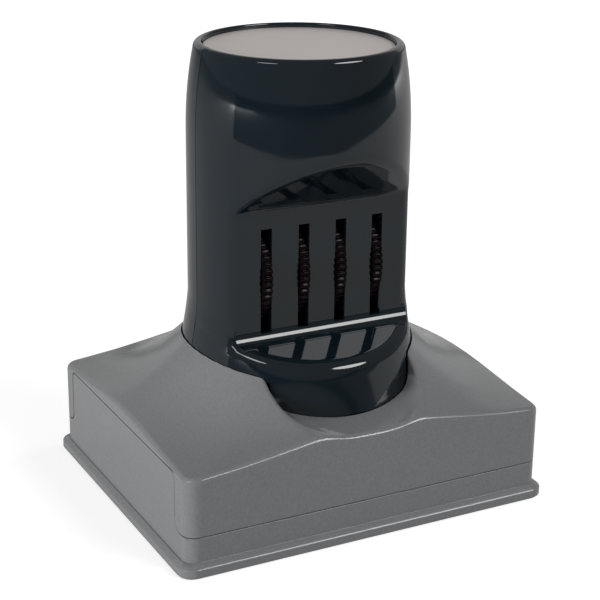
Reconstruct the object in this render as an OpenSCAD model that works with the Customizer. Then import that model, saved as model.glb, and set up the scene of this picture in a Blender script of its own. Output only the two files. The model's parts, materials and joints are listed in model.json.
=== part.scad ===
// Pre-inked date stamp: round palm handle, four date wheels, flared housing and dust cap.
// Lengths are in millimetres. The origin is the centre of the face that it stands on, +Z is up
// and the front, with the wheels, faces -Y.

/* [Dust cap] */
// Width of the cap's bottom flange
base_w = 88; // [84:1:100]
// Depth of the cap's bottom flange
base_d = 74; // [70:1:86]
// Height of the flange's upright edge
flange_h = 2.3; // [1.8:0.1:2.8]
// How far the flange stands out past the wall above it
flange_step = 1.4; // [1:0.1:1.8]
// Corner radius of the flange
flange_r = 3.4; // [2.8:0.1:5]
// Thickness of the cap's floor
cap_floor = 1.6; // [1.2:0.1:2]
// Thickness of the cap's wall
cap_wall = 1.8; // [1.4:0.1:2.2]
// Height of the cap's wall at the front and the rear
band_h = 8.4; // [7.4:0.1:9.4]
// Height of the cap's side panels
panel_h = 20.9; // [17:0.1:21.2]
// Length of the cap's side panels
panel_l = 59; // [54:1:61]

/* [Housing] */
// Height at which the top of the housing would run out flat
edge_h = 20.75; // [20.4:0.05:24]
// Rise of the collar above that height, beside the handle
collar_rise = 12; // [10:0.25:14]
// Distance over which the collar runs out
collar_reach = 69; // [60:1:80]
// How sharply the collar sweeps up
collar_power = 6; // [5:0.25:7]
// Radius of the housing's top edge
rim_r = 1.1; // [0.6:0.1:1.4]
// Thickness of the housing's walls
cover_wall = 1.6; // [1.3:0.1:2]
// Thickness of the housing's roof, measured upright
roof_t = 2.4; // [2:0.1:2.8]

/* [Handle] */
// Diameter of the handle. The date unit, the label and the bib follow it
handle_d = 48.2; // [44:0.2:53]
// Height of the handle's top rim above the surface
handle_top = 99.6; // [94:0.2:106]
// Wall of the handle's shells
handle_wall = 2; // [1.6:0.1:2.2]
// How far the foot flares out at the bib's lower edge
foot_flare = 3.5; // [3:0.1:3.8]
// Thickness of the round label
label_t = 0.45; // [0.3:0.05:0.6]

/* [Date unit] */
// Height of the wheels' axle above the surface
wheel_z = 51.6; // [50.6:0.1:52.6]
// Number of teeth on a thumb wheel
wheel_teeth = 56; // [40:2:64]
// Thickness of a date band
band_t = 1; // [0.8:0.05:1.1]
// Radius of the axle
axle_r = 1.5; // [1.2:0.1:1.7]

/* [Printing] */
// How far the handle goes down
stroke = 4.5; // [3.5:0.1:4.7]
// Thickness of the printing plate
die_t = 2.8; // [2.4:0.1:3.2]
// Thickness of the ink pad behind the printing plate
pad_t = 4; // [3.4:0.1:4.2]
// Thickness of the carriage's plate
plate_t = 3; // [2.8:0.1:3.2]
// From the flange's edge to the printing plate at the sides
die_margin_x = 17; // [16.5:0.1:18]
// From the flange's edge to the printing plate at the front and the rear
die_margin_y = 9.8; // [9.6:0.1:11]
// Wire of the return springs
wire_d = 0.8; // [0.6:0.05:0.9]
// Mean diameter of the return springs
coil_d = 5.6; // [5:0.1:5.8]
// Number of curls in a return spring
curls = 7; // [5:1:8]

/* [Hidden] */
$fn = 96;

// Clearances
seam_gap = 0.25;
slide_gap = 0.3;
handle_gap = 0.25;
fit_gap = 0.15;
bore_gap = 0.05;
seat_gap = 0.05;
over = 1;

// Plan of the cap and of what stands in it
wall_x = base_w / 2 - flange_step;
wall_y = base_d / 2 - flange_step;
wall_r = flange_r - 0.4;
cap_in_x = wall_x - cap_wall;
cap_in_y = wall_y - cap_wall;
cap_in_r = max(wall_r - cap_wall, 0.8);
shoulder_h = flange_h + 0.7;
seam_z = band_h + seam_gap;
panel_half = panel_l / 2;
panel_top_r = 1.6;
corner_fillet = 2.2;
recess_half = panel_half + seam_gap;
recess_x = cap_in_x - fit_gap;
cav_x = recess_x - cover_wall;
cav_y = wall_y - cover_wall;

// Base frame
frame_z = cap_floor + fit_gap;
frame_t = 1.8;
frame_x = cap_in_x - slide_gap;
frame_y = cap_in_y - slide_gap;
lip_x = cav_x - 0.1;
lip_in_x = lip_x - cover_wall;
lip_in_y = frame_y - 1.5;
lip_h = 2.8;
lip_r = cap_in_r + 1;
guide_t = 1.1;
boss_r = 2.9;
boss_x = wall_x - 7.6;
boss_y = wall_y - 6.3;
screw_r = 1.2;
screw_head_r = 2.3;
screw_head_t = 1.5;
screw_len = 13;
screw_sink = 0.4;
handle_screw_r = 0.95;
handle_head_r = 2.1;
handle_head_t = 1.3;
handle_screw_sink = 0.2;

// Printing parts, from the die's face upwards
die_x = base_w / 2 - die_margin_x;
die_y = base_d / 2 - die_margin_y;
die_z = frame_z + stroke + fit_gap;
relief_t = 0.5;
pad_z = die_z + die_t + seat_gap;
plate_z = pad_z + pad_t + seat_gap;
plate_top = plate_z + plate_t;
rim_t = 1.2;
rim_x = die_x + fit_gap + rim_t;
rim_y = die_y + fit_gap + rim_t;
rim_z = die_z + 1;
open_x = rim_x + slide_gap + 0.25;
open_y = rim_y + slide_gap + 0.25;
guide_top = frame_z + frame_t + 4.9;

// Springs, between the base frame and the carriage's towers
spring_x = (open_x + guide_t + lip_in_x) / 2;
spring_z = frame_z + frame_t + seat_gap;
tower_r = coil_d / 2 + wire_d / 2 + 1.5;
tower_bore = coil_d / 2 + wire_d / 2 + 0.5;
tower_top = plate_top + 5.7;
spring_top = tower_top - 1.5 - seat_gap;
post_r = coil_d / 2 - wire_d / 2 - 0.4;
rings_per_curl = 8;
wire_sides = 6;

// Carriage plate, a cross that clears the housing's corner posts
plate_x = lip_in_x - 0.6;
plate_y = lip_in_y - 0.7;
arm_x = boss_x - boss_r - 1.6;
arm_y = boss_y - boss_r - 1.6;

handle_r = handle_d / 2;

// Date unit: its plates fill the handle's bore, and the wheels share the room between them
side_plate_t = 1.2;
side_plate_r = handle_r * 0.19;
side_plate_x = sqrt(pow(handle_r - handle_wall - slide_gap, 2) - pow(side_plate_r, 2)) - side_plate_t;
unit_half = side_plate_x - 0.5;
wheel_pitch = unit_half / 2.215;
wheel_t = wheel_pitch * 0.2065;
drum_w = wheel_pitch * 0.527;
band_w = drum_w - 0.45;
wheel_r = handle_r * 0.5975;
tooth_depth = 0.5;
drum_r = handle_r * 0.29;

// Date window through plate, pad and printing plate
window_x = unit_half + 1.05;
window_y = 5;
sleeve_t = 0.6;

// Handle
inner_r = handle_r - handle_wall;
face_y = handle_r * 0.502;
bib_half = handle_r * 0.685;
label_r = handle_r * 0.842;
bib_z = frame_z + 23.1;
flare_top = bib_z + 20.15;
flare_power = 1.35;
foot_z = bib_z + 7.15;
barrel_h = 19.6;
barrel_z = handle_top - barrel_h;
barrel_cut = 1.93;
barrel_power = 2.2;
crown_r = 1.3;
barrel_heights = [for (k = [0:6]) barrel_z + 0.9 + (barrel_h - crown_r - 0.9) * k / 7];
seat_z = handle_top - 1 - label_t - seat_gap;
skirt_r = inner_r + 1.6;
skirt_z = plate_top + seat_gap;
shell_split = 0.1;
handle_boss_r = 2.8;
boss_pos = (inner_r - 2.16) / sqrt(2);
handle_screw_len = 12;
foot_groove = foot_z - 0.5;

// Scoop in the front shell: thumb ledge, flat face and slanted brow
ledge_slope = 0.2;
ledge_z = frame_z + 34.25;
ledge_front = 24.1;
ledge_fillet = 2.7;
ledge_edge_in = 2.4;
ledge_edge_down = 1.9;
edge_round = 3;
brow_round = 1.6;
edge_x = sqrt(pow(handle_r - edge_round, 2) - pow(face_y - edge_round, 2));
edge_angles = [atan2(edge_x, face_y), atan2(edge_x, face_y - edge_round)];
half_front = concat(
    [for (i = [0:14]) edge_angles[0] * i / 14],
    [for (i = [1:4]) edge_angles[0] + (edge_angles[1] - edge_angles[0]) * i / 4],
    [for (i = [1:5]) edge_angles[1] + (90 - edge_angles[1]) * i / 5]);
front_angles = concat([for (i = [len(half_front) - 1:-1:1]) -half_front[i]], half_front);
brow_z = wheel_z + 15.7;
brow_slope = 0.94;
slot_w = wheel_t + 0.35;
slot_low = wheel_z - wheel_r * 0.84;
slot_high = wheel_z + wheel_r * 0.8;

// Collar of the housing
collar_r = handle_r + 1.9;
collar_y = 0.6;
collar_wide = 0.933;
pocket_wide = handle_r - 7;
pocket_long = pocket_wide * 1.14;
pocket_y = -(handle_r - 3.9);
pocket_low = bib_z - 1.23;
pocket_slope = 0.14;
pocket_sag = 0.005;
pocket_lip = 1.6;
pocket_fillet = 4.2;
rim_steps = 4;
outer_rows = 5;
floor_rows = 2;
top_rows = outer_rows + 8 + floor_rows;
rim_end = collar_r - pocket_lip;
rim_angle = 44;
corner_angle = atan2(wall_x, wall_y);
corner_turn = 2.4;
half_angles = concat(
    [for (i = [0:21]) (corner_angle - corner_turn) * i / 22],
    [for (i = [-3:3]) corner_angle + corner_turn * i / 3],
    [for (i = [1:9]) corner_angle + corner_turn + 2 * (90 - corner_angle - corner_turn) * i / 10],
    [for (i = [-3:3]) 180 - corner_angle + corner_turn * i / 3],
    [for (i = [1:6]) 180 - corner_angle + corner_turn + (corner_angle - corner_turn) * i / 7]);
cover_angles = concat([for (i = [len(half_angles) - 1:-1:1]) -half_angles[i]], half_angles, [180]);
liner_t = 1.7;

// Bridge and small screws of the date unit
nose_r = 2.5;
nose_z = die_z + band_t + fit_gap + nose_r;
bridge_top = plate_top + 6;
bridge_notch = 2;
centre_plate_w = 3.4;
centre_plate_t = 1.2;
spacer_r = 2.6;
pin_r = 1;
pin_z = plate_top + 3.2;
foot_x = side_plate_x - 4.5;
foot_y = 5.3;
foot_l = 3.8;
small_screw_r = 0.85;
small_head_r = 1.7;
small_head_t = 1;
small_screw_x = side_plate_x - 2.4;
small_screw_y = foot_y + foot_l / 2;
small_screw_len = 3;

// Colours
cap_grey = "#75777a";
cover_grey = "#6f7174";
handle_black = "#10191d";
label_silver = "#b5aeab";
wheel_black = "#1c1214";
inner_black = "#26282b";
steel = "#b9bcc0";
felt = "#2b2440";
foam = "#5a4a78";
band_rubber = "#3a2a2c";

// Plan and profile helpers
function arc(c, r, a0, a1, n) = [for (i = [0:n]) let (a = a0 + (a1 - a0) * i / n)
    [c[0] + r * cos(a), c[1] + r * sin(a)]];

function round_rect(x, y, r, n = 6) = concat(
    arc([x - r, y - r], r, 0, 90, n),
    arc([r - x, y - r], r, 90, 180, n),
    arc([r - x, r - y], r, 180, 270, n),
    arc([x - r, r - y], r, 270, 360, n));

module slab(x, y, r, z0, z1) {
    translate([0, 0, z0]) linear_extrude(z1 - z0) polygon(round_rect(x, y, r));
}

module box(x0, x1, y0, y1, z0, z1) {
    translate([x0, y0, z0]) cube([x1 - x0, y1 - y0, z1 - z0]);
}

// Extrudes an outline given as [y, z] points along X
module along_x(points, x0, x1) {
    translate([x0, 0, 0]) rotate([90, 0, 90]) linear_extrude(x1 - x0) polygon(points);
}

module both_sides() {
    children();
    mirror([1, 0, 0]) children();
}

module four_corners(x, y) {
    for (sx = [-1, 1], sy = [-1, 1]) translate([sx * x, sy * y, 0]) children();
}

// Closed solid through a stack of rings that all have as many points and go round the Z axis
module loft(rings) {
    n = len(rings[0]);
    m = len(rings);
    low = [0, 0, rings[0][0][2]];
    mid = [0, 0, rings[m - 1][0][2]];
    polyhedron(
        points = concat([for (ring = rings) each ring], [low, mid]),
        faces = concat(
            [for (k = [0:m - 2], i = [0:n - 1]) let (j = (i + 1) % n)
                [k * n + i, (k + 1) * n + i, (k + 1) * n + j]],
            [for (k = [0:m - 2], i = [0:n - 1]) let (j = (i + 1) % n)
                [k * n + i, (k + 1) * n + j, k * n + j]],
            [for (i = [0:n - 1]) [m * n, i, (i + 1) % n]],
            [for (i = [0:n - 1]) [m * n + 1, (m - 1) * n + (i + 1) % n, (m - 1) * n + i]]),
        convexity = 6);
}

// Height of the housing's flared top above a place in plan
function collar_height(p) =
    let (r = norm([p[0] * collar_wide, p[1] - collar_y]))
    edge_h + collar_rise * pow(1 - (r - collar_r) / collar_reach, collar_power);

// How far along a ray from the axis a rounded rectangle lies. The ray's angle counts from the front
function ray_hit(a, x, y, r) =
    let (u = [abs(sin(a)), abs(cos(a))], c = [x - r, y - r], b = u * c)
    x * u[1] < (y - r) * u[0] ? x / u[0]
    : y * u[0] < (x - r) * u[1] ? y / u[1]
    : b + sqrt(b * b - c * c + r * r);

// Where a ray crosses the pocket's rim
function rim_hit(a) =
    let (
        u = [sin(a) / pocket_wide, cos(a) / pocket_long],
        c = pocket_y / pocket_long,
        b = -c * u[1])
    abs(a) >= rim_angle ? rim_end : (b + sqrt(b * b - (u * u) * (c * c - 1))) / (u * u);

function on_ray(a, t) = [t * sin(a), -t * cos(a)];

// Floor of the pocket: a shallow trough that runs out over the front edge
function pocket_floor(p) = pocket_low + pocket_slope * (p[1] + wall_y) + pocket_sag * p[0] * p[0];

// Height of the top at a place on a ray: the flared top, cut down to the pocket's floor inside its rim
function top_height(a, t) =
    let (
        p = on_ray(a, t),
        high = collar_height(p),
        drop = high - pocket_floor(p),
        d = rim_hit(a) - t,
        reach = pocket_lip + pocket_fillet,
        s = max(0, min(1, (d + pocket_lip) / reach)),
        sharp = d < 0 ? pocket_lip / reach * (1 - sqrt(max(0, 1 - pow(1 + d / pocket_lip, 2))))
            : 1 - pocket_fillet / reach * (1 - sqrt(max(0, 1 - pow(1 - min(1, d / pocket_fillet), 2)))),
        k = min(1, drop / reach))
    abs(a) > rim_angle || drop < 0 || d < -pocket_lip ? high
    : high - drop * (k * sharp + (1 - k) * s * s * (3 - 2 * s));

// Distances of the top's points along a ray, from the outer edge to a circle within the handle's hole
function top_steps(a) =
    let (
        start = ray_hit(a, wall_x - rim_r, wall_y - rim_r, wall_r - rim_r),
        hole = handle_r - 6,
        t = rim_hit(a),
        wanted = concat(
            [for (i = [1:outer_rows]) start + (t + pocket_lip - start) * i / outer_rows],
            [for (b = [22.5:22.5:90]) t + pocket_lip * (1 - sin(b))],
            [for (b = [22.5:22.5:90]) t - pocket_fillet * (1 - cos(b))],
            [for (i = [1:floor_rows]) t - pocket_fillet + (hole - t + pocket_fillet) * i / floor_rows]))
    [for (i = [0:len(wanted) - 1]) min(wanted[i], start - 0.3 * (i + 1))];

function top_column(a) = [for (t = top_steps(a)) let (p = on_ray(a, t)) [p[0], p[1], top_height(a, t)]];

module cover_form() {
    columns = [for (a = cover_angles) top_column(a)];
    loft(concat(
        [[for (a = cover_angles) let (p = on_ray(a, ray_hit(a, wall_x, wall_y, wall_r)))
            [p[0], p[1], seam_z]]],
        [for (k = [0:rim_steps]) let (b = 90 * k / rim_steps, inset = rim_r * (1 - cos(b)))
            [for (a = cover_angles)
                let (t = ray_hit(a, wall_x - inset, wall_y - inset, wall_r - inset), p = on_ray(a, t))
                [p[0], p[1], top_height(a, t) - rim_r * (1 - sin(b))]]],
        [for (i = [0:top_rows - 1]) [for (column = columns) column[i]]]));
}

module cover_hollow() {
    rows = 6;
    angles = [for (i = [0:2:len(cover_angles) - 1]) cover_angles[i]];
    loft(concat(
        [[for (a = angles) let (p = on_ray(a, ray_hit(a, cav_x, cav_y, cap_in_r + 0.4)))
            [p[0], p[1], seam_z - over]]],
        [for (i = [0:rows]) [for (a = angles)
            let (t = ray_hit(a, cav_x, cav_y, cap_in_r + 0.4),
                p = on_ray(a, t + (handle_r - 4 - t) * i / rows))
            [p[0], p[1], collar_height(p) - roof_t]]]));
}

// Radius of the handle's outside at a height
function handle_radius(z) =
    z < flare_top ? handle_r + foot_flare * pow((flare_top - z) / (flare_top - bib_z), flare_power)
    : z > barrel_z ? handle_r - barrel_cut * pow((z - barrel_z) / barrel_h, barrel_power)
    : handle_r;

// Room that the handle needs in the housing over its whole travel
module handle_path() {
    steps = 12;
    reach = handle_r + foot_flare + handle_gap;
    rotate_extrude() polygon(concat(
        [[0, plate_top], [reach, plate_top]],
        [for (k = [0:steps]) let (z = bib_z + (flare_top - bib_z) * k / steps)
            [handle_radius(z) + handle_gap, z]],
        [[handle_r + handle_gap, handle_top], [0, handle_top]]));
}

// What stays solid under the pocket
module pocket_liner() {
    translate([0, pocket_y, pocket_low - liner_t]) scale([1, pocket_long / pocket_wide, 1])
        cylinder(r = pocket_wide + liner_t, h = edge_h);
}

// Side elevation of the recess for a cap panel, with its rounded corners
function recess_outline() =
    let (h = recess_half, f = corner_fillet, t = panel_top_r, top = panel_h + seam_gap)
    concat(
        [[-h - f, seam_z - over]],
        arc([-h - f, seam_z + f], f, -90, 0, 6),
        arc([-h + t, top - t], t, 180, 90, 5),
        arc([h - t, top - t], t, 90, 0, 5),
        arc([h + f, seam_z + f], f, 180, 270, 6),
        [[h + f, seam_z - over]]);

// Side elevation of the cap's side wall with its panel
function panel_outline() =
    let (h = recess_half, f = corner_fillet, e = seam_gap, t = panel_top_r - seam_gap,
        end = wall_y - wall_r)
    concat(
        [[-end, flange_h], [-end, band_h]],
        arc([-h - f, seam_z + f], f + e, -90, 0, 6),
        arc([-panel_half + t, panel_h - t], t, 180, 90, 5),
        arc([panel_half - t, panel_h - t], t, 90, 0, 5),
        arc([h + f, seam_z + f], f + e, 180, 270, 6),
        [[end, band_h], [end, flange_h]]);

// Pan head screw standing on its head, head downwards at z = 0
module screw(r, length, head_r, head_t) {
    difference() {
        union() {
            cylinder(r = head_r, h = head_t);
            cylinder(r = r, h = head_t + length);
        }
        for (a = [0, 90]) rotate([0, 0, a])
            translate([-head_r * 0.6, -0.25, -over]) cube([head_r * 1.2, 0.5, over + head_t * 0.45]);
    }
}

module dust_cap() color(cap_grey) {
    difference() {
        union() {
            hull() {
                slab(base_w / 2 - 0.4, base_d / 2 - 0.4, flange_r - 0.4, 0, 0.1);
                slab(base_w / 2, base_d / 2, flange_r, 0.4, flange_h - 0.3);
                slab(base_w / 2 - 0.25, base_d / 2 - 0.25, flange_r - 0.25, 0.4, flange_h);
                slab(wall_x + 0.3, wall_y + 0.3, wall_r + 0.3, 0.4, shoulder_h);
            }
            slab(wall_x, wall_y, wall_r, flange_h, band_h);
            both_sides() along_x(panel_outline(), cap_in_x, wall_x);
        }
        slab(cap_in_x, cap_in_y, cap_in_r, cap_floor, panel_h + over);
    }
}

module housing_cover() color(cover_grey) {
    difference() {
        cover_form();
        difference() {
            cover_hollow();
            pocket_liner();
            four_corners(boss_x, boss_y) translate([0, 0, seam_z]) cylinder(r = boss_r, h = edge_h, $fn = 32);
        }
        handle_path();
        both_sides() along_x(recess_outline(), recess_x, wall_x + over);
        four_corners(boss_x, boss_y) translate([0, 0, seam_z - over])
            cylinder(r = screw_r - 0.1, h = over + screw_len - 3, $fn = 32);
    }
}

module base_frame() color(inner_black) {
    difference() {
        union() {
            difference() {
                union() {
                    slab(frame_x, frame_y, cap_in_r, frame_z, seam_z);
                    slab(lip_x, frame_y, lip_r, frame_z, seam_z + lip_h);
                }
                slab(lip_in_x, lip_in_y, 1, frame_z + frame_t, seam_z + lip_h + over);
                box(-lip_x - over, lip_x + over, -tower_r - over, tower_r + over,
                    seam_z - 0.5, seam_z + lip_h + over);
                four_corners(boss_x, boss_y) translate([0, 0, seam_z])
                    cylinder(r = boss_r + 0.1, h = lip_h + over, $fn = 32);
            }
            slab(open_x + guide_t, open_y + guide_t, 1.4, frame_z, guide_top);
            four_corners(boss_x, boss_y) translate([0, 0, frame_z])
                cylinder(r = boss_r + 0.3, h = seam_z - frame_z, $fn = 32);
            both_sides() translate([spring_x, 0, frame_z]) cylinder(r = post_r, h = frame_t + 2.5, $fn = 32);
        }
        slab(open_x, open_y, 1, frame_z - over, guide_top + over);
        four_corners(boss_x, boss_y) translate([0, 0, frame_z - over]) {
            cylinder(r = screw_r + 0.2, h = seam_z + over, $fn = 32);
            cylinder(r = screw_head_r + 0.2, h = over + screw_sink + screw_head_t, $fn = 32);
        }
    }
}

module frame_screws() color(steel) {
    four_corners(boss_x, boss_y) translate([0, 0, frame_z + screw_sink])
        screw(screw_r - 0.15, screw_len, screw_head_r, screw_head_t, $fn = 32);
}

// Half section of the rim round the label, from the barrel's outside to the seat
function crown_profile() =
    let (crown_z = handle_top - crown_r, lip = 0.5)
    concat(
        arc([handle_radius(crown_z) - crown_r, crown_z], crown_r, 15, 90, 5),
        arc([label_r + 0.15 + lip, handle_top - lip], lip, 90, 180, 4),
        [[label_r + 0.15, seat_z]]);

// Outside of a shell from the bottom of its flared foot to the seat of the label
function outer_profile() = concat(
    [for (k = [0:14]) let (z = bib_z + (flare_top - bib_z) * k / 14) [handle_radius(z), z]],
    [for (z = barrel_heights) [handle_radius(z), z]],
    crown_profile());

// Room inside both shells: the bore, narrower under the roof
module shell_hollow() {
    rotate_extrude() polygon([[0, skirt_z - over], [inner_r, skirt_z - over], [inner_r, barrel_z + 4],
        [inner_r - 1.4, seat_z - 5], [inner_r - 2, seat_z - 2.4], [0, seat_z - 2.4]]);
}

// Skirt that runs down in the collar, and the gap between it and the bib
module skirt() {
    translate([0, 0, skirt_z]) cylinder(r = skirt_r, h = foot_z - skirt_z);
}

module bib_gap() {
    rotate_extrude() polygon([[skirt_r, bib_z - over], [skirt_r, foot_groove],
        [handle_radius(bib_z) - handle_wall, bib_z], [handle_radius(bib_z) - handle_wall, bib_z - over]]);
}

function ledge_height(y) = ledge_z + ledge_slope * (ledge_front + y);

// Flat face with rounded vertical edges: its distance from the axis in a direction a from the front
function face_hit(a, z) =
    let (c = [edge_x, face_y - edge_round], b = c * [sin(a), cos(a)])
    a < edge_angles[0] ? face_y / cos(a)
    : a < edge_angles[1] ? b + sqrt(b * b - c * c + pow(edge_round, 2))
        + (handle_radius(z) - handle_r) * (a - edge_angles[0]) / (edge_angles[1] - edge_angles[0])
    : handle_radius(z);

// Rounds the corner q between p and r, with n steps of a circle's arc
function bend(p, q, r, n) =
    let (w = norm(r - p) / (norm(q - p) + norm(r - q)))
    [for (i = [0:n]) let (t = i / n, k = 2 * w * t * (1 - t), d = (1 - t) * (1 - t) + k + t * t)
        ((1 - t) * (1 - t) * p + k * q + t * t * r) / d];

// Upright profile of the front shell, as [radius, height], in a direction a from the front
function front_profile(a) =
    let (
        guess = handle_radius(ledge_height(-handle_r * cos(a))),
        low_z = ledge_height(-guess * cos(a)),
        low_r = handle_radius(low_z),
        back_r = face_hit(a, ledge_height(-face_hit(a, low_z) * cos(a))),
        depth = low_r - back_r,
        full = min(1, depth / (ledge_edge_in + ledge_fillet)),
        nudge = 0.6 * (1 - full),
        edge = [low_r, low_z - nudge],
        back = [back_r, low_z + ledge_slope * depth * cos(a) + nudge],
        along = (back - edge) / norm(back - edge),
        fillet = min(ledge_fillet / cos(min(a, 70)), 0.55 * norm(back - edge)),
        face_low = back[1] + ledge_fillet,
        face_top = brow_z - brow_round,
        valley = [face_hit(a, brow_z), brow_z - nudge],
        brow_depth = handle_r - valley[0],
        brow = [handle_radius(brow_z), brow_z + brow_slope * brow_depth * cos(a) + nudge],
        rise = (brow - valley) / norm(brow - valley),
        turn = min(brow_round, 0.45 * norm(brow - valley)))
    concat(
        [for (k = [0:5]) let (z = bib_z + (edge[1] - ledge_edge_down - bib_z) * k / 6) [handle_radius(z), z]],
        bend([handle_radius(edge[1] - ledge_edge_down), edge[1] - ledge_edge_down], edge,
            edge + along * min(ledge_edge_in, 0.4 * norm(back - edge)), 6),
        bend(back - along * fillet, back, [face_hit(a, face_low), face_low], 5),
        [for (t = [0.12, 0.5]) let (z = face_low + (face_top - face_low) * t) [face_hit(a, z), z]],
        bend([valley[0], face_top - nudge], valley, valley + rise * turn, 4),
        bend(brow - rise * turn, brow, [brow[0], brow[1] + brow_round], 4),
        [for (z = barrel_heights) [handle_radius(z), z]],
        crown_profile());

// The front half, closed by a low ridge behind the seam
module front_form() {
    columns = [for (a = front_angles) front_profile(abs(a))];
    ridge = 0.1;
    loft([for (j = [0:len(columns[0]) - 1]) concat(
        [for (i = [0:len(columns) - 1])
            let (p = columns[i][j], a = front_angles[i]) [p[0] * sin(a), -p[0] * cos(a), p[1]]],
        [[0, ridge * columns[0][j][0], columns[0][j][1]]])]);
}

// Space in front of the inner side of the scoop's wall
module scoop_wall_space() {
    back = handle_wall - face_y;
    f = ledge_fillet;
    low = ledge_height(back - f) - handle_wall * 1.05;
    top = brow_z + handle_wall * 0.4;
    along_x(concat(
        [[-40, ledge_height(-40) - handle_wall * 1.05]],
        arc([back - f, low + f], f, -90, 0, 6),
        [[back, top], [-40, top + (40 + back) * brow_slope]]), -30, 30);
}

module bib_mask() {
    translate([0, -over, 0]) rotate([90, 0, 0]) linear_extrude(40)
        polygon(concat([[bib_half, bib_z + 30], [-bib_half, bib_z + 30]],
            arc([-bib_half + 5, bib_z + 5], 5, 180, 270, 6),
            arc([bib_half - 5, bib_z + 5], 5, 270, 360, 6)));
}

module foot_trim() {
    rotate_extrude() polygon([[skirt_r + 0.01, bib_z - over], [handle_r + foot_flare + over, bib_z - over],
        [handle_r + foot_flare + over, foot_z], [skirt_r + 0.01, foot_z]]);
}

module handle_bosses(side) {
    for (sx = [-1, 1]) translate([sx * boss_pos, side * boss_pos, skirt_z])
        cylinder(r = handle_boss_r, h = slot_low - handle_wall - skirt_z - 3, $fn = 32);
}

module handle_boss_holes(side) {
    for (sx = [-1, 1]) translate([sx * boss_pos, side * boss_pos, skirt_z - over])
        cylinder(r = handle_screw_r + 0.1, h = over + handle_screw_len, $fn = 32);
}

module handle_front_shell() color(handle_black) {
    difference() {
        union() {
            difference() {
                union() {
                    front_form();
                    skirt();
                }
                difference() {
                    shell_hollow();
                    scoop_wall_space();
                }
            }
            handle_bosses(-1);
        }
        bib_gap();
        difference() {
            foot_trim();
            bib_mask();
        }
        for (k = [-1.5:1.5]) box(k * wheel_pitch - slot_w / 2, k * wheel_pitch + slot_w / 2,
            -face_y - over, -face_y + handle_wall + over, slot_low, slot_high);
        handle_boss_holes(-1);
        box(-40, 40, -shell_split, 40, 0, handle_top + over);
    }
}

module handle_rear_shell() color(handle_black) {
    difference() {
        union() {
            difference() {
                union() {
                    rotate_extrude() polygon(concat([[0, bib_z]], outer_profile(), [[0, seat_z]]));
                    skirt();
                }
                shell_hollow();
            }
            handle_bosses(1);
        }
        foot_trim();
        handle_boss_holes(1);
        box(-40, 40, -40, shell_split, 0, handle_top + over);
    }
}

module top_label() color(label_silver) {
    translate([0, 0, seat_z + seat_gap]) cylinder(r = label_r, h = label_t);
}

module handle_screws() color(steel) {
    four_corners(boss_pos, boss_pos) translate([0, 0, plate_z + handle_screw_sink])
        screw(handle_screw_r, handle_screw_len, handle_head_r, handle_head_t, $fn = 32);
}

module carriage() color(inner_black) {
    difference() {
        union() {
            slab(arm_x, plate_y, 2, plate_z, plate_top);
            slab(plate_x, arm_y, 2, plate_z, plate_top);
            slab(rim_x, rim_y, 1.2, rim_z, plate_z + over);
            both_sides() translate([spring_x, 0, plate_z]) cylinder(r = tower_r, h = tower_top - plate_z);
        }
        slab(die_x + fit_gap, die_y + fit_gap, 0.8, rim_z - over, plate_z);
        slab(window_x, window_y, 0.5, plate_z - over, plate_top + over);
        both_sides() translate([spring_x, 0, plate_z - over])
            cylinder(r = tower_bore, h = tower_top - 1.5 - plate_z + over);
        four_corners(boss_pos, boss_pos) translate([0, 0, plate_z - over]) {
            cylinder(r = handle_screw_r + 0.2, h = plate_t + 2 * over, $fn = 32);
            cylinder(r = handle_head_r + 0.2, h = over + handle_screw_sink + handle_head_t, $fn = 32);
        }
        four_corners(small_screw_x, small_screw_y) translate([0, 0, plate_top - 2.4])
            cylinder(r = small_screw_r + 0.05, h = 2.4 + over, $fn = 32);
    }
}

module ink_pad() color(felt) {
    difference() {
        slab(die_x, die_y, 0.8, pad_z, pad_z + pad_t);
        slab(window_x + 0.05, window_y + 0.05, 0.5, pad_z - over, pad_z + pad_t + over);
    }
}

module relief_frame(inset, width) {
    difference() {
        slab(die_x - inset, die_y - inset, 0.8, die_z, die_z + relief_t + seat_gap);
        slab(die_x - inset - width, die_y - inset - width, 0.6, die_z - over, die_z + relief_t + over);
    }
}

module printing_plate() color(foam) {
    difference() {
        slab(die_x, die_y, 0.8, die_z + relief_t, die_z + die_t);
        slab(window_x + 0.05, window_y + 0.05, 0.5, die_z - over, die_z + die_t + over);
    }
    relief_frame(2, 1.4);
    relief_frame(4.4, 0.6);
}

module date_window_sleeve() color(inner_black) {
    difference() {
        slab(window_x, window_y, 0.5, die_z + 0.8, plate_z);
        slab(window_x - sleeve_t, window_y - sleeve_t, 0.4, die_z, plate_z + over);
    }
}

// Side plate of the date unit, on the +X side
module side_plate() {
    difference() {
        union() {
            along_x(concat([[-side_plate_r, plate_top]], [[side_plate_r, plate_top]],
                arc([0, wheel_z], side_plate_r, 0, 180, 16)), side_plate_x, side_plate_x + side_plate_t);
            intersection() {
                for (s = [-1, 1]) mirror([0, s < 0 ? 1 : 0, 0]) {
                    box(side_plate_x, inner_r, 0, foot_y + foot_l, plate_top, plate_top + side_plate_t);
                    box(foot_x, inner_r, foot_y, foot_y + foot_l, plate_top, plate_top + side_plate_t);
                }
                translate([0, 0, plate_top - over])
                    cylinder(r = inner_r - slide_gap, h = side_plate_t + 2 * over);
            }
        }
        for (z = [wheel_z, pin_z]) translate([0, 0, z]) rotate([0, 90, 0])
            cylinder(r = (z == pin_z ? pin_r : axle_r) + bore_gap, h = base_w, $fn = 48);
        for (s = [-1, 1]) translate([small_screw_x, s * small_screw_y, plate_top - over])
            cylinder(r = small_screw_r + 0.15, h = side_plate_t + 2 * over, $fn = 32);
    }
}

module band_frame_right() color(steel) side_plate();
module band_frame_left() color(steel) mirror([1, 0, 0]) side_plate();

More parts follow.
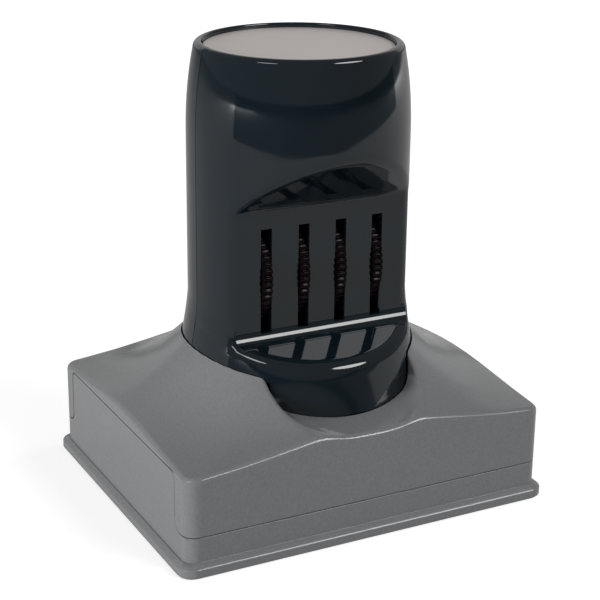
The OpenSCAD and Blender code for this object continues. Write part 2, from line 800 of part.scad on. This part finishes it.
module band_frame_centre() color(steel) {
    w = centre_plate_w;
    t = centre_plate_t / 2;
    difference() {
        along_x(concat([[-w, bridge_top - bridge_notch], [w, bridge_top - bridge_notch]],
            arc([0, wheel_z], w, 0, 180, 12)), -t, t);
        translate([-over, 0, wheel_z]) rotate([0, 90, 0])
            cylinder(r = axle_r + bore_gap, h = 2 * over, $fn = 48);
    }
}

module band_bridge() color(inner_black) {
    difference() {
        along_x(concat(arc([0, nose_z], nose_r, 180, 360, 12), [[nose_r, bridge_top], [-nose_r, bridge_top]]),
            -side_plate_x + 0.1, side_plate_x - 0.1);
        box(-centre_plate_t / 2 - seat_gap, centre_plate_t / 2 + seat_gap, -nose_r - over, nose_r + over,
            bridge_top - bridge_notch - seat_gap, bridge_top + over);
        both_sides() translate([side_plate_x - 4, 0, pin_z]) rotate([0, 90, 0])
            cylinder(r = pin_r + bore_gap, h = 5, $fn = 32);
    }
}

module bridge_pins() color(steel) {
    both_sides() translate([side_plate_x - 3.9, 0, pin_z]) rotate([0, 90, 0])
        cylinder(r = pin_r, h = 3.9 + side_plate_t, $fn = 32);
}

module band_unit_screws() color(steel) {
    four_corners(small_screw_x, small_screw_y)
        translate([0, 0, plate_top + side_plate_t + 0.05 + small_head_t]) mirror([0, 0, 1])
        screw(small_screw_r, small_screw_len, small_head_r, small_head_t, $fn = 32);
}

module wheel_axle() color(steel) {
    translate([-side_plate_x - side_plate_t, 0, wheel_z]) rotate([0, 90, 0])
        cylinder(r = axle_r, h = 2 * (side_plate_x + side_plate_t), $fn = 48);
}

module wheel_spacers() color(steel) {
    rim_in = wheel_pitch / 2 - wheel_t / 2;
    drum_end = wheel_pitch / 2 + wheel_t / 2 + drum_w;
    both_sides() translate([0, 0, wheel_z]) rotate([0, 90, 0]) difference() {
        union() {
            translate([0, 0, centre_plate_t / 2 + seat_gap])
                cylinder(r = spacer_r, h = rim_in - centre_plate_t / 2 - seat_gap - 0.1, $fn = 48);
            translate([0, 0, drum_end + 0.1])
                cylinder(r = spacer_r, h = wheel_pitch - wheel_t - drum_w - 0.2, $fn = 48);
        }
        cylinder(r = axle_r + bore_gap, h = unit_half, $fn = 48);
    }
}

// Outline of a loop round the drum and the bridge's nose, as [y, z] points
function loop_outline(add) =
    let (r1 = drum_r + 0.2 + add, r2 = nose_r + fit_gap + add, d = wheel_z - nose_z, a = asin((r1 - r2) / d))
    concat(arc([0, wheel_z], r1, -a, 180 + a, 28), arc([0, nose_z], r2, 180 + a, 360 - a, 14));

// Bands and wheels 1 and 2 lie to the left of their rims, 3 and 4 to the right
function unit_x(k) = (k - 2.5) * wheel_pitch;
function unit_side(k) = k < 2.5 ? -1 : 1;

module date_band(k) color(band_rubber) {
    start = unit_x(k) + unit_side(k) * (wheel_t / 2 + 0.25);
    translate([unit_side(k) < 0 ? start - band_w : start, 0, 0]) difference() {
        along_x(loop_outline(band_t), 0, band_w);
        along_x(loop_outline(0), -over, band_w + over);
    }
}

module thumb_wheel(k) color(wheel_black) {
    pitch = 360 / wheel_teeth;
    translate([unit_x(k), 0, wheel_z]) rotate([0, 90, 0]) difference() {
        union() {
            translate([0, 0, -wheel_t / 2]) linear_extrude(wheel_t) polygon([
                for (i = [0:wheel_teeth - 1], s = [[0, -tooth_depth], [0.25, 0], [0.6, 0]])
                    (wheel_r + s[1]) * [cos((i + s[0]) * pitch), sin((i + s[0]) * pitch)]]);
            translate([0, 0, unit_side(k) < 0 ? -wheel_t / 2 - drum_w : 0])
                cylinder(r = drum_r, h = wheel_t / 2 + drum_w, $fn = 96);
        }
        translate([0, 0, -10]) cylinder(r = axle_r + bore_gap, h = 20, $fn = 48);
    }
}

module date_band_1() date_band(1);
module date_band_2() date_band(2);
module date_band_3() date_band(3);
module date_band_4() date_band(4);
module thumb_wheel_1() thumb_wheel(1);
module thumb_wheel_2() thumb_wheel(2);
module thumb_wheel_3() thumb_wheel(3);
module thumb_wheel_4() thumb_wheel(4);

// Path of a spring's wire: a straight end, the curls, a straight end
function coil_path() =
    let (r = coil_d / 2, z0 = spring_z + wire_d, z1 = spring_top - wire_d, n = curls * rings_per_curl)
    concat(
        [[r, 0, spring_z]],
        [for (i = [0:n]) let (a = 360 * i / rings_per_curl) [r * cos(a), r * sin(a), z0 + (z1 - z0) * i / n]],
        [[r, 0, spring_top]]);

function unit(v) = v / norm(v);

// Rings of points round the wire, square to its path
function wire_rings(path) = [for (i = [0:len(path) - 1])
    let (
        ahead = path[min(i + 1, len(path) - 1)],
        behind = path[max(i - 1, 0)],
        t = unit(ahead - behind),
        out = unit([path[i][0], path[i][1], 0]),
        side = unit(cross(t, out)),
        up = cross(side, t))
    [for (k = [0:wire_sides - 1]) let (a = 360 * k / wire_sides)
        path[i] + wire_d / 2 * (cos(a) * up + sin(a) * side)]];

module wire(rings) {
    n = wire_sides;
    m = len(rings);
    polyhedron(
        points = [for (ring = rings) each ring],
        faces = concat(
            [for (k = [0:m - 2], i = [0:n - 1]) let (j = (i + 1) % n)
                [k * n + i, k * n + j, (k + 1) * n + j]],
            [for (k = [0:m - 2], i = [0:n - 1]) let (j = (i + 1) % n)
                [k * n + i, (k + 1) * n + j, (k + 1) * n + i]],
            [for (i = [1:n - 2]) [0, i + 1, i]],
            [for (i = [1:n - 2]) [(m - 1) * n, (m - 1) * n + i, (m - 1) * n + i + 1]]),
        convexity = 8);
}

// Least gap between one curl and another, measured on the path's points
coil_points = coil_path();
coil_gap = min([for (i = [0:len(coil_points) - 1], j = [0:len(coil_points) - 1])
    if (j - i > rings_per_curl / 2) norm(coil_points[i] - coil_points[j])]) - wire_d;
echo(str("Least gap of a return spring to itself: ", coil_gap, " mm"));

module spring_right() color(steel) translate([spring_x, 0, 0]) wire(wire_rings(coil_points));
module spring_left() color(steel) translate([-spring_x, 0, 0]) wire(wire_rings(coil_points));

dust_cap();
housing_cover();
base_frame();
frame_screws();
handle_front_shell();
handle_rear_shell();
top_label();
handle_screws();
carriage();
ink_pad();
printing_plate();
date_window_sleeve();
band_frame_left();
band_frame_right();
band_frame_centre();
band_bridge();
bridge_pins();
band_unit_screws();
wheel_axle();
wheel_spacers();
date_band_1();
date_band_2();
date_band_3();
date_band_4();
thumb_wheel_1();
thumb_wheel_2();
thumb_wheel_3();
thumb_wheel_4();
spring_left();
spring_right();
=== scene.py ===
import json
import math

import bpy
from mathutils import Matrix, Vector


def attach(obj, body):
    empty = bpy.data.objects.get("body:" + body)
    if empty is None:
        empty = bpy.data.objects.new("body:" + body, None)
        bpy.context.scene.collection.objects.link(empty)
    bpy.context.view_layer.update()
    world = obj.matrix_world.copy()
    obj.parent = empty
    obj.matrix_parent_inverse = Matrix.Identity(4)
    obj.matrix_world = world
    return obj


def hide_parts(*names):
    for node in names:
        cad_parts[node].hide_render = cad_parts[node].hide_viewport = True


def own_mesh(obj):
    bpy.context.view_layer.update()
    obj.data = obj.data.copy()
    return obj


MM = 0.001
WHITE = (1, 1, 1, 1)

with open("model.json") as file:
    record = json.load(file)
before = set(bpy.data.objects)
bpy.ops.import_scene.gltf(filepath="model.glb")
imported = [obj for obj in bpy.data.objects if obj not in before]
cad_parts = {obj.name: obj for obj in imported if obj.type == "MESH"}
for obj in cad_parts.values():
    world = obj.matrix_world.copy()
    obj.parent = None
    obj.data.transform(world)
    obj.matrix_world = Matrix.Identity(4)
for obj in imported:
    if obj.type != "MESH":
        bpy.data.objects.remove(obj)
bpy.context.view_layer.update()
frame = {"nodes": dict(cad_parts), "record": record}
nodes = frame["nodes"]
bodies = frame["record"]["behaviour"]["bodies"]
body_of = {node: body for body, members in bodies.items() for node in members}


# Small helpers

def srgb(code):
    """Linear colour of an sRGB hex code, with alpha 1."""
    parts = [int(code[i:i + 2], 16) / 255 for i in (1, 3, 5)]
    return [c / 12.92 if c <= 0.04045 else ((c + 0.055) / 1.055) ** 2.4 for c in parts] + [1.0]


def add_node(tree, kind, settings=None, **links):
    """Adds a node.

    settings are its properties, or its sockets' values where the name has an underscore in front. Links go to
    a socket by its name, or by its number after a letter.
    """
    node = tree.nodes.new(kind)
    for name, value in (settings or {}).items():
        if name.startswith("_"):
            node.inputs[name[1:]].default_value = value
        else:
            setattr(node, name, value)
    for name, output in links.items():
        tree.links.new(output, node.inputs[int(name[1:]) if name[1:].isdigit() else name.replace("_", " ")])
    return node


def empty_tree(owner):
    """The node tree of a material or of the world, with nothing in it."""
    owner.use_nodes = True
    owner.node_tree.nodes.clear()
    return owner.node_tree


def new_material(name):
    """A material with its shader, and the Object coordinates that its patterns follow."""
    material = bpy.data.materials.new(name)
    tree = empty_tree(material)
    shader = add_node(tree, "ShaderNodeBsdfPrincipled")
    add_node(tree, "ShaderNodeOutputMaterial", i0=shader.outputs[0])
    coords = add_node(tree, "ShaderNodeTexCoord")
    return material, tree, shader, coords.outputs["Object"]


def set_sockets(shader, **values):
    """Sets sockets that are the same all over a piece."""
    for name, value in values.items():
        shader.inputs[name.replace("_", " ")].default_value = value


def dress(names, material):
    """Gives CAD nodes their material."""
    for name in names:
        mesh = nodes[name].data
        mesh.materials.clear()
        mesh.materials.append(material)


# Modelling: some pieces are smoothly shaded copies of CAD nodes

def only(piece):
    """Selects one piece and nothing else."""
    bpy.ops.object.select_all(action="DESELECT")
    bpy.context.view_layer.objects.active = piece
    piece.select_set(True)


def start(add, **sizes):
    """Adds a primitive with nothing else selected."""
    bpy.ops.object.select_all(action="DESELECT")
    add(**sizes)
    return bpy.context.object


def apply_modifier(piece, kind, **settings):
    """Finishes a piece with one modifier."""
    only(piece)
    modifier = piece.modifiers.new("finish", kind)
    for name, value in settings.items():
        setattr(modifier, name, value)
    bpy.ops.object.modifier_apply(modifier="finish")


def face_out(piece):
    """Turns the faces of a piece the same way, which is outwards where it is closed."""
    only(piece)
    bpy.ops.object.mode_set(mode="EDIT")
    bpy.ops.mesh.select_all(action="SELECT")
    bpy.ops.mesh.normals_make_consistent(inside=False)
    bpy.ops.object.mode_set(mode="OBJECT")


def join(piece, extra):
    """Makes extra part of a piece."""
    only(piece)
    extra.select_set(True)
    bpy.ops.object.join()


def push(piece, choose, move):
    """Moves the vertices that choose picks. Both work on a place in mm."""
    for vertex in piece.data.vertices:
        place = vertex.co / MM
        if choose(place):
            vertex.co = move(place) * MM


MERGE = 0.002 * MM  # vertices that are closer become one
FLAT = math.radians(0.2)  # faces that meet at less than this become one
ROUND_FROM, SMOOTH_TO = 3, 20  # degrees above sharp: edges that are rounded, and shading once they are


def soften(name, material, sharp=32, edge_mm=0.0, reshape=None):
    """Takes the place of a CAD node with a merged, smoothly shaded copy.

    sharp is the angle in degrees above which an edge stays an edge, edge_mm the width that such edges are
    rounded over, and reshape a function that changes the merged copy before it is shaded.
    """
    piece = bpy.data.objects.new(name + "_smooth", nodes[name].data.copy())
    bpy.context.scene.collection.objects.link(piece)
    only(piece)
    bpy.ops.object.mode_set(mode="EDIT")
    bpy.ops.mesh.select_all(action="SELECT")
    bpy.ops.mesh.remove_doubles(threshold=MERGE)
    bpy.ops.mesh.dissolve_limited(angle_limit=FLAT)
    bpy.ops.object.mode_set(mode="OBJECT")
    if reshape:
        reshape(piece)
        only(piece)
    bpy.ops.object.shade_smooth_by_angle(angle=math.radians(sharp))
    if edge_mm:
        apply_modifier(piece, "BEVEL", width=edge_mm * MM, segments=2, limit_method="ANGLE",
                       angle_limit=math.radians(sharp + ROUND_FROM), use_clamp_overlap=True)
        bpy.ops.object.shade_smooth_by_angle(angle=math.radians(sharp + SMOOTH_TO))
    apply_modifier(piece, "WEIGHTED_NORMAL", keep_sharp=True)
    piece.data.materials.clear()
    piece.data.materials.append(material)
    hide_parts(name)
    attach(piece, body_of[name])
    return piece


# Sizes of the handle in mm, from the part's source

HANDLE_R = 24.1
BARREL_Z, BARREL_H, BARREL_CUT, BARREL_POWER = 80, 19.6, 1.93, 2.2
FLARE_TOP, FLARE_H, FLARE, FLARE_POWER = 45, 20.15, 3.5, 1.35
FACE_Y = -HANDLE_R * 0.502
WHEEL_Z = 51.6
WHEEL_R = HANDLE_R * 0.5975
WHEEL_PITCH = 8.853
WHEEL_T = WHEEL_PITCH * 0.2065
SLOT_W = WHEEL_T + 0.35
SLOT_LOW = WHEEL_Z - WHEEL_R * 0.84
SLOT_HIGH = WHEEL_Z + WHEEL_R * 0.8
SLOTS = (-1.5, -0.5, 0.5, 1.5)  # places of the four slots, in wheel pitches from the middle
WALL_FRONT, WALL_BACK = -16, -8  # the wall of the face lies between them
ON_SIDE, PAST_END = 0.01, 0.1  # how near a slot's side its vertices lie, and how far past its ends at most
LEDGE_BACK = 38.4  # height of the thumb ledge where it meets the face
LEDGE_SLOPE = 0.2

# What the photograph asks for beyond the solids, in mm

SLOT_MORE = 0.4  # added to each slot's width, on its left
RIM_MORE = 0.35  # added to each wheel's rim, on its left
SEEN_WHEEL_R = 13.3
RIM_FROM_R = 13  # a wheel's vertices past this radius belong to its toothed rim
COVE_R = 3.4
COVE_PROUD = 0.012  # how far it stands out of the solid's face and ledge
COVE_END = 0.5  # how far inside the handle's outside the cove ends
COVE_DEPTH = 0.9
COVE_SLOT_UP = 0.6  # how much higher a slot ends in the cove than in the face
CUT_DEEP, CUT_HIGH = 12, 10  # size of the block that cuts a slot into the cove
TONGUE_OUT, TONGUE_IN = 0.5, 1.6  # the tongue's two edges, in from the handle's outside
TONGUE_T = 0.19
TONGUE_LOW, TONGUE_H = 28, 70.6


def barrel_radius(z):
    """Radius of the handle's outside, which flares towards the housing and draws in towards the top."""
    top = BARREL_CUT * max(0.0, (z - BARREL_Z) / BARREL_H) ** BARREL_POWER
    return HANDLE_R - top + FLARE * max(0.0, (FLARE_TOP - z) / FLARE_H) ** FLARE_POWER


def add_cove():
    """The hollow corner between the face and the thumb ledge.

    It runs straight from side to side and ends just inside the handle's outside.
    """
    cove = start(bpy.ops.mesh.primitive_grid_add, x_subdivisions=64, y_subdivisions=14, size=2)
    lean = math.atan(LEDGE_SLOPE)
    middle_z = LEDGE_BACK + COVE_R / math.cos(lean) - LEDGE_SLOPE * COVE_R
    middle_y = FACE_Y - COVE_R
    for vertex in cove.data.vertices:
        u, v = vertex.co.x, (vertex.co.y + 1) / 2
        turn = (1 - v) * (lean - math.radians(90))
        y = middle_y + COVE_R * math.cos(turn) - COVE_PROUD
        z = middle_z + COVE_R * math.sin(turn) + COVE_PROUD
        reach = math.sqrt(barrel_radius(z) ** 2 - y * y) - COVE_END
        vertex.co = Vector((u * reach, y, z)) * MM
    face_out(cove)
    if sum(face.normal.y for face in cove.data.polygons) > 0:
        cove.data.flip_normals()
    # Depth behind the surface, so that its ends are closed against the shell
    apply_modifier(cove, "SOLIDIFY", thickness=COVE_DEPTH * MM, offset=-1)
    return cove


def cut_slot(cove, k):
    """Cuts the lower end of a slot into the cove."""
    cutter = start(bpy.ops.mesh.primitive_cube_add, size=1)
    for vertex in cutter.data.vertices:
        vertex.co = Vector((k * WHEEL_PITCH - SLOT_MORE / 2 + vertex.co.x * (SLOT_W + SLOT_MORE),
                            FACE_Y + vertex.co.y * CUT_DEEP,
                            SLOT_LOW + COVE_SLOT_UP + CUT_HIGH / 2 + vertex.co.z * CUT_HIGH)) * MM
    apply_modifier(cove, "BOOLEAN", operation="DIFFERENCE", object=cutter)
    bpy.data.objects.remove(cutter)


def finish_scoop(shell):
    """Widens the slots on their left, as seen, and lays the cove in the corner above the ledge."""
    for k in SLOTS:
        left = k * WHEEL_PITCH - SLOT_W / 2
        push(shell, lambda p: abs(p.x - left) < ON_SIDE and WALL_FRONT < p.y < WALL_BACK
             and SLOT_LOW - PAST_END < p.z < SLOT_HIGH + PAST_END,
             lambda p: p - Vector((SLOT_MORE, 0, 0)))
    cove = add_cove()
    for k in SLOTS:
        cut_slot(cove, k)
    join(shell, cove)


def add_tongue(shell):
    """A tongue in each seam, half a millimetre in, that closes the slit between the two shells."""
    for side in (-1, 1):
        tongue = start(bpy.ops.mesh.primitive_grid_add, x_subdivisions=1, y_subdivisions=36, size=2)
        for vertex in tongue.data.vertices:
            z = TONGUE_LOW + TONGUE_H * (vertex.co.y + 1) / 2
            deep = TONGUE_OUT if vertex.co.x > 0 else TONGUE_IN
            vertex.co = Vector((side * (barrel_radius(z) - deep), TONGUE_T / 2, z)) * MM
        apply_modifier(tongue, "SOLIDIFY", thickness=TONGUE_T * MM,
                       offset=1 if tongue.data.polygons[0].normal.y < 0 else -1)
        face_out(tongue)
        join(shell, tongue)


def trim_wheel(piece, k):
    """Makes the toothed rim smaller, so that it stands 1.2 mm out of its slot, and wider to suit the slot."""
    middle = SLOTS[k - 1] * WHEEL_PITCH
    small = SEEN_WHEEL_R / WHEEL_R
    push(piece, lambda p: math.hypot(p.y, p.z - WHEEL_Z) > RIM_FROM_R,
         lambda p: Vector((p.x - (RIM_MORE if p.x < middle else 0), p.y * small,
                           WHEEL_Z + (p.z - WHEEL_Z) * small)))


# Materials

def moulded_grey():
    """ABS moulded in a spark-eroded tool: mid grey with a satin shine and a fine even grain."""
    material, tree, shader, place = new_material("ABS, moulded, mid grey")
    set_sockets(shader, IOR=1.52)
    # Grain of 0.4 mm, 2.6 to the mm. Spark erosion leaves a finer one, which wouldn't show
    grain = add_node(tree, "ShaderNodeTexNoise", {"_Scale": 2.6 / MM, "_Detail": 2.0, "_Roughness": 0.6},
                     Vector=place)
    # Handling marks in the shine, about 30 mm across
    cloud = add_node(tree, "ShaderNodeTexNoise", {"_Scale": 0.033 / MM, "_Detail": 1.0, "_Roughness": 0.4},
                     Vector=place)
    colour = add_node(tree, "ShaderNodeMix", {"data_type": "RGBA"}, Factor=grain.outputs["Fac"])
    colour.inputs[6].default_value = srgb("#636465")
    colour.inputs[7].default_value = srgb("#7b7c7d")
    tree.links.new(colour.outputs[2], shader.inputs["Base Color"])
    rough = add_node(tree, "ShaderNodeMapRange",
                     {"_From Min": 0.0, "_From Max": 1.0, "_To Min": 0.14, "_To Max": 0.19},
                     Value=cloud.outputs["Fac"])
    tree.links.new(rough.outputs[0], shader.inputs["Roughness"])
    bump = add_node(tree, "ShaderNodeBump", {"_Strength": 0.25, "_Distance": 0.03 * MM},
                    Height=grain.outputs["Fac"])
    tree.links.new(bump.outputs[0], shader.inputs["Normal"])
    return material


def polished_black():
    """ABS moulded in a polished tool: blue-black, glossy, with faint handling marks in its shine."""
    material, tree, shader, place = new_material("ABS, polished, blue-black")
    set_sockets(shader, IOR=1.54)
    # Handling marks, about 17 mm across
    smear = add_node(tree, "ShaderNodeTexNoise", {"_Scale": 0.06 / MM, "_Detail": 4.0, "_Roughness": 0.6},
                     Vector=place)
    tone = add_node(tree, "ShaderNodeMix", {"data_type": "RGBA"}, Factor=smear.outputs["Fac"])
    tone.inputs[6].default_value = srgb("#0a1217")
    tone.inputs[7].default_value = srgb("#0e191f")
    tree.links.new(tone.outputs[2], shader.inputs["Base Color"])
    rough = add_node(tree, "ShaderNodeMapRange",
                     {"_From Min": 0.0, "_From Max": 1.0, "_To Min": 0.03, "_To Max": 0.08},
                     Value=smear.outputs["Fac"])
    tree.links.new(rough.outputs[0], shader.inputs["Roughness"])
    return material


def plain(name, low, high, roughness, per_mm=0.2, metallic=0.0, bump_mm=0.0, specular=0.5):
    """A plain finish: two near colours in patches, and a shine that varies with them.

    per_mm is how many patches go to the mm. Where bump_mm isn't 0, it has a grain of 0.3 mm too.
    """
    material, tree, shader, place = new_material(name)
    set_sockets(shader, IOR=1.5, Metallic=metallic, Specular_IOR_Level=specular)
    patch = add_node(tree, "ShaderNodeTexNoise", {"_Scale": per_mm / MM, "_Detail": 3.0, "_Roughness": 0.55},
                     Vector=place)
    tone = add_node(tree, "ShaderNodeMix", {"data_type": "RGBA"}, Factor=patch.outputs["Fac"])
    tone.inputs[6].default_value = srgb(low)
    tone.inputs[7].default_value = srgb(high)
    tree.links.new(tone.outputs[2], shader.inputs["Base Color"])
    rough = add_node(tree, "ShaderNodeMapRange",
                     {"_From Min": 0.3, "_From Max": 0.7,
                      "_To Min": roughness - 0.05, "_To Max": roughness + 0.05},
                     Value=patch.outputs["Fac"])
    tree.links.new(rough.outputs[0], shader.inputs["Roughness"])
    if bump_mm:
        grain = add_node(tree, "ShaderNodeTexNoise", {"_Scale": 3 / MM, "_Detail": 2.0}, Vector=place)
        bump = add_node(tree, "ShaderNodeBump", {"_Strength": 0.3, "_Distance": bump_mm * MM},
                        Height=grain.outputs["Fac"])
        tree.links.new(bump.outputs[0], shader.inputs["Normal"])
    return material


grey = moulded_grey()
black = polished_black()
# Dark grey and half matt
inner = plain("ABS, moulded, dark grey", "#1f2124", "#27292c", 0.5, bump_mm=0.03)
# Pale silver with a soft, even shine
foil = plain("Label foil, silver, satin", "#cdc5c2", "#d4cdca", 0.42, metallic=0.3, per_mm=0.06)
# Bright metal with a fairly sharp shine
steel = plain("Steel, plated, bright", "#b4b6b9", "#c3c5c8", 0.25, metallic=1.0, per_mm=0.4)
# Nearly black with a touch of brown, and a faint shine on the teeth
wheel = plain("Acetal, moulded, brown-black", "#090405", "#0e0608", 0.2, bump_mm=0.02, specular=0.08)
# Dull brown-violet, darkened by ink
band_rubber = plain("Rubber, moulded, ink-stained", "#2c1d24", "#3a2630", 0.6, bump_mm=0.03)
# Matt violet from the ink
print_rubber = plain("Printing foam, laser-cut, inked", "#4a3d66", "#57497a", 0.65, bump_mm=0.04)
# Dull dark violet with an uneven, fibrous surface
felt = plain("Felt, soaked with ink", "#251d40", "#32284f", 0.85, per_mm=0.9, bump_mm=0.1)

soften("dust_cap", grey, edge_mm=0.22)
soften("housing_cover", grey, edge_mm=0.22)
soften("handle_front_shell", black, reshape=finish_scoop)
soften("handle_rear_shell", black, reshape=add_tongue)
dress(["base_frame", "carriage", "date_window_sleeve", "band_bridge"], inner)
dress(["top_label"], foil)
dress(["frame_screws", "handle_screws", "band_unit_screws", "bridge_pins", "wheel_axle", "wheel_spacers",
       "band_frame_left", "band_frame_right", "band_frame_centre"], steel)
for name in ("spring_left", "spring_right"):
    spring = soften(name, steel, sharp=70)
    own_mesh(spring)
for k in (1, 2, 3, 4):
    soften("thumb_wheel_%d" % k, wheel, edge_mm=0.1,
           reshape=lambda piece, k=k: trim_wheel(piece, k))
dress(["date_band_%d" % k for k in (1, 2, 3, 4)], band_rubber)
dress(["printing_plate"], print_rubber)
dress(["ink_pad"], felt)


# Camera, from a fit to the photograph

CAMERA_AT = (-155.322, -298.598, 162.545)  # mm
CAMERA_ANGLES = (27.618, 19.782, 0.659)  # left of the front, above level and roll, in degrees
CAMERA_LENS, CAMERA_SENSOR = 96.485, 36  # mm

# Studio, in metres and degrees

AIM = (0, 0, 0.05)  # where the lamps point
FLOOR_SIZE = 14
FLOOR_DOWN = 0.0001  # how far the floor lies below the stamp's underside
GLOW_FROM = 0.3  # distance from the stamp at which the floor starts to get lighter
CARD_FRONT = 27.6  # the camera's direction, from which the card's angles count
CARD_MIDDLE, CARD_HALF = 24.5, 90.5  # middle and half width of the card
CARD_NEAR, CARD_FAR = 0.33, 6.5  # distances of its two edges from the stamp
CARD_MORE, CARD_MORE_AT = 0.12, 75  # how much further off the near edge is at that angle
CARD_UP = 0.0004  # its height above the stamp's underside


def set_camera():
    """The camera that the photograph was taken with, as far as the fit tells."""
    turn, pitch, roll = (math.radians(v) for v in CAMERA_ANGLES)
    look = Vector((math.sin(turn) * math.cos(pitch), math.cos(turn) * math.cos(pitch), -math.sin(pitch)))
    level = Vector((math.cos(turn), -math.sin(turn), 0))
    upright = level.cross(look)
    right = math.cos(roll) * level + math.sin(roll) * upright
    up = -math.sin(roll) * level + math.cos(roll) * upright
    data = bpy.data.cameras.new("camera")
    data.sensor_width = CAMERA_SENSOR
    data.lens = CAMERA_LENS
    data.clip_start = 0.01
    data.clip_end = 20
    camera = bpy.data.objects.new("camera", data)
    matrix = Matrix((right, up, -look)).transposed().to_4x4()
    matrix.translation = Vector(CAMERA_AT) * MM
    camera.matrix_world = matrix
    bpy.context.scene.collection.objects.link(camera)
    bpy.context.scene.camera = camera


def matt(name, colour, glow=0.0, spread=0.0):
    """A matt surface. glow lifts it towards white for the camera alone, so that it still holds the shadow.

    With a spread, in metres, it reaches full white that far from the stamp, as a floor does that runs up into
    a backdrop.
    """
    material = bpy.data.materials.new(name)
    tree = empty_tree(material)
    rays = add_node(tree, "ShaderNodeLightPath")
    pale = add_node(tree, "ShaderNodeBsdfDiffuse", {"_Color": srgb(colour)})
    level = add_node(tree, "ShaderNodeMath", {"operation": "MULTIPLY"}, i0=rays.outputs["Is Camera Ray"])
    level.inputs[1].default_value = glow
    light = add_node(tree, "ShaderNodeEmission", {"_Color": WHITE}, Strength=level.outputs[0])
    if spread:
        place = add_node(tree, "ShaderNodeTexCoord")
        far = add_node(tree, "ShaderNodeVectorMath", {"operation": "LENGTH"}, i0=place.outputs["Object"])
        rise = add_node(tree, "ShaderNodeMapRange",
                        {"_From Min": GLOW_FROM, "_From Max": spread, "_To Min": glow, "_To Max": 1.0},
                        Value=far.outputs["Value"])
        tree.links.new(rise.outputs[0], level.inputs[1])
    both = add_node(tree, "ShaderNodeAddShader", i0=pale.outputs[0], i1=light.outputs[0])
    add_node(tree, "ShaderNodeOutputMaterial", i0=both.outputs[0])
    return material


def add_floor():
    """A pale floor that holds the stamp's shadow and runs up to white."""
    floor = start(bpy.ops.mesh.primitive_plane_add, size=FLOOR_SIZE, location=(0, 0, -FLOOR_DOWN))
    floor.name = "floor"
    floor.data.transform(floor.matrix_world)
    floor.matrix_world = Matrix.Identity(4)
    floor.data.materials.append(matt("Floor, pale", "#c8c8c8", glow=0.66, spread=0.9))


def set_world():
    """White to the camera, and a weak even light on the stamp."""
    world = bpy.data.worlds.new("studio")
    bpy.context.scene.world = world
    tree = empty_tree(world)
    rays = add_node(tree, "ShaderNodeLightPath")
    fill = add_node(tree, "ShaderNodeBackground", {"_Strength": 0.2, "_Color": WHITE})
    seen = add_node(tree, "ShaderNodeBackground", {"_Strength": 1.0, "_Color": WHITE})
    mix = add_node(tree, "ShaderNodeMixShader", i0=rays.outputs["Is Camera Ray"], i1=fill.outputs[0],
                   i2=seen.outputs[0])
    add_node(tree, "ShaderNodeOutputWorld", i0=mix.outputs[0])


def add_lamp(name, place, width, height, power, shine=True):
    """An oval softbox aimed at the stamp. One without shine lights it and isn't seen in its gloss."""
    data = bpy.data.lights.new(name, "AREA")
    data.shape = "ELLIPSE"
    data.size = width
    data.size_y = height
    data.energy = power
    lamp = bpy.data.objects.new(name, data)
    lamp.location = place
    lamp.rotation_euler = (Vector(AIM) - Vector(place)).to_track_quat("-Z", "Y").to_euler()
    lamp.visible_glossy = shine
    bpy.context.scene.collection.objects.link(lamp)


def add_card():
    """A painted dark reflection: a dark card on the floor in front that only reflections see, so that the
    gloss has a dark side.

    It is part of a ring round the stamp, from 66 degrees left of the camera to 115 degrees right of it.
    """
    card = start(bpy.ops.mesh.primitive_grid_add, x_subdivisions=48, y_subdivisions=1, size=2)
    card.name = "card"
    for vertex in card.data.vertices:
        turn = CARD_MIDDLE + CARD_HALF * vertex.co.x
        near = CARD_NEAR + CARD_MORE * (turn / CARD_MORE_AT) ** 2
        reach = near if vertex.co.y < 0 else CARD_FAR
        azimuth = math.radians(turn - CARD_FRONT)
        vertex.co = Vector((math.sin(azimuth) * reach, -math.cos(azimuth) * reach, CARD_UP))
    # Painted dark reflection: the card shows only in the gloss, not to the camera or the light
    card.data.materials.append(matt("Card, dark, painted reflection", "#6a6c6e"))
    card.visible_camera = False
    card.visible_diffuse = False
    card.visible_shadow = False
    card.visible_transmission = False


set_camera()
add_floor()
set_world()
add_card()
# Place, width and height in metres, power in watts
add_lamp("softbox front right", (0.585, -0.87, 0.885), 0.7, 0.48, 8.8)
add_lamp("softbox front left", (-0.99, -0.45, 0.93), 0.5, 0.3, 2.5)
add_lamp("fill left", (-1.3, -0.12, 0.14), 0.6, 0.5, 22, shine=False)
add_lamp("fill right", (1.2, 0.05, 0.3), 0.4, 0.4, 7, shine=False)
add_lamp("backdrop glow", (0.556, 1.063, 0.42), 2.2, 0.7, 1.25)

bpy.context.scene.view_settings.view_transform = "Standard"
